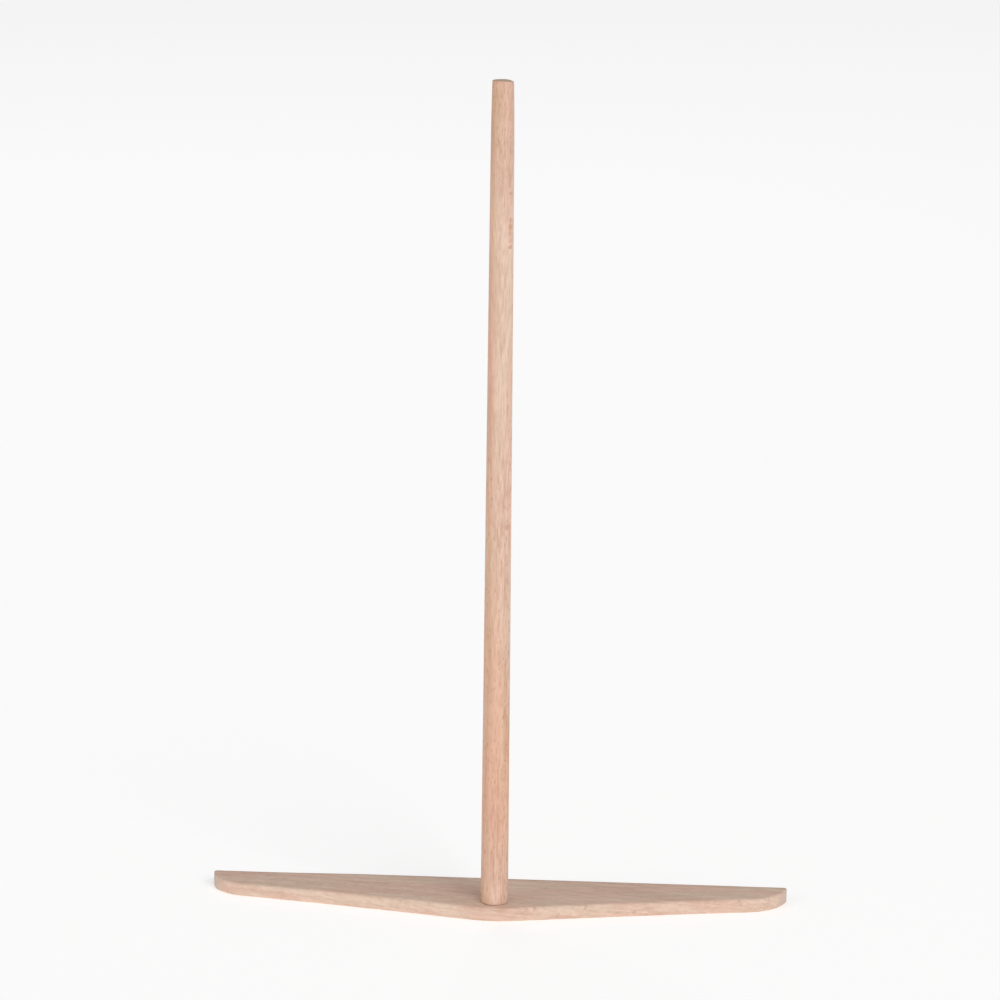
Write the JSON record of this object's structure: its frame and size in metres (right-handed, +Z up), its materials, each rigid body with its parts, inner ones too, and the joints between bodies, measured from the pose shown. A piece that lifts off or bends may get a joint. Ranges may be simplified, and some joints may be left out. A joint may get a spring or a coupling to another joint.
{
  "type": "crepe batter spreader",
  "caption": "Wooden T-shaped batter spreader: a slim round handle, tapering upward, stands on a flat blade with a straight edge and, opposite, a blunt point.",
  "frame": {"origin": "on the blade's flat underside, at the middle of the rectangle that the blade's outline fits in", "axes": "+Z up along the handle, +Y from the blade's blunt point towards its straight working edge, +X along the blade"},
  "size_m": [0.18, 0.0284, 0.2575],
  "materials": {
    "blade_wood": "pale beech, sanded, unfinished",
    "handle_wood": "pale pinkish beech, turned and sanded, unfinished",
    "wedge_wood": "beech, cut flush"
  },
  "bodies": {
    "root": {"blade": "blade_wood", "handle": "handle_wood", "tenon_wedge": "wedge_wood"}
  },
  "joints": []
}
